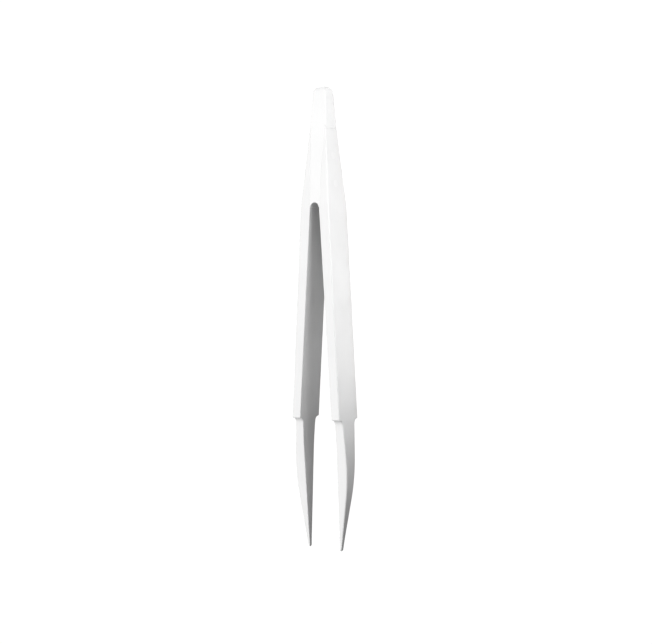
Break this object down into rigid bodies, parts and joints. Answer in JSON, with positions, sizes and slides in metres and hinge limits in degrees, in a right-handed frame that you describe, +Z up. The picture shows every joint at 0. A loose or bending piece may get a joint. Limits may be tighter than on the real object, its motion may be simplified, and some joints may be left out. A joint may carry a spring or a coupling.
{
  "type": "precision tweezers",
  "caption": "Straight precision tweezers with flat wide grips, stepped shoulders and long slim swept points, sprung open by two arms that are fixed to a tapered head core.",
  "frame": {"origin": "on the surface that the grips lie on, under the centre of the bounding box", "axes": "+X is the opening direction, towards the right arm; +Y runs along the length towards the head, so the points are at -Y; +Z is up, across the width of the grips"},
  "size_m": [0.017, 0.1264, 0.009],
  "materials": {
    "arm_steel": "satin, ground along the length",
    "core_steel": "satin, ground",
    "rivet_steel": "ground flush"
  },
  "bodies": {
    "head": {"head_core": "core_steel", "left_arm_root": "arm_steel", "right_arm_root": "arm_steel", "rear_rivet": "rivet_steel", "front_rivet": "rivet_steel"},
    "left_arm": {"left_arm": "arm_steel"},
    "right_arm": {"right_arm": "arm_steel"}
  },
  "joints": [
    {"name": "left_flex", "type": "hinge", "parent": "head", "child": "left_arm", "pos_m": [-0.00323, 0.02715, 0.0045], "axis": [0, 0, 1], "range_deg": [0, 3.15], "stiffness_Nm_per_rad": 1.9},
    {"name": "right_flex", "type": "hinge", "parent": "head", "child": "right_arm", "pos_m": [0.00323, 0.02715, 0.0045], "axis": [0, 0, -1], "range_deg": [0, 3.15], "stiffness_Nm_per_rad": 1.9}
  ],
  "couplings": [
    {"joint": "right_flex", "follows": "left_flex", "ratio": 1}
  ]
}
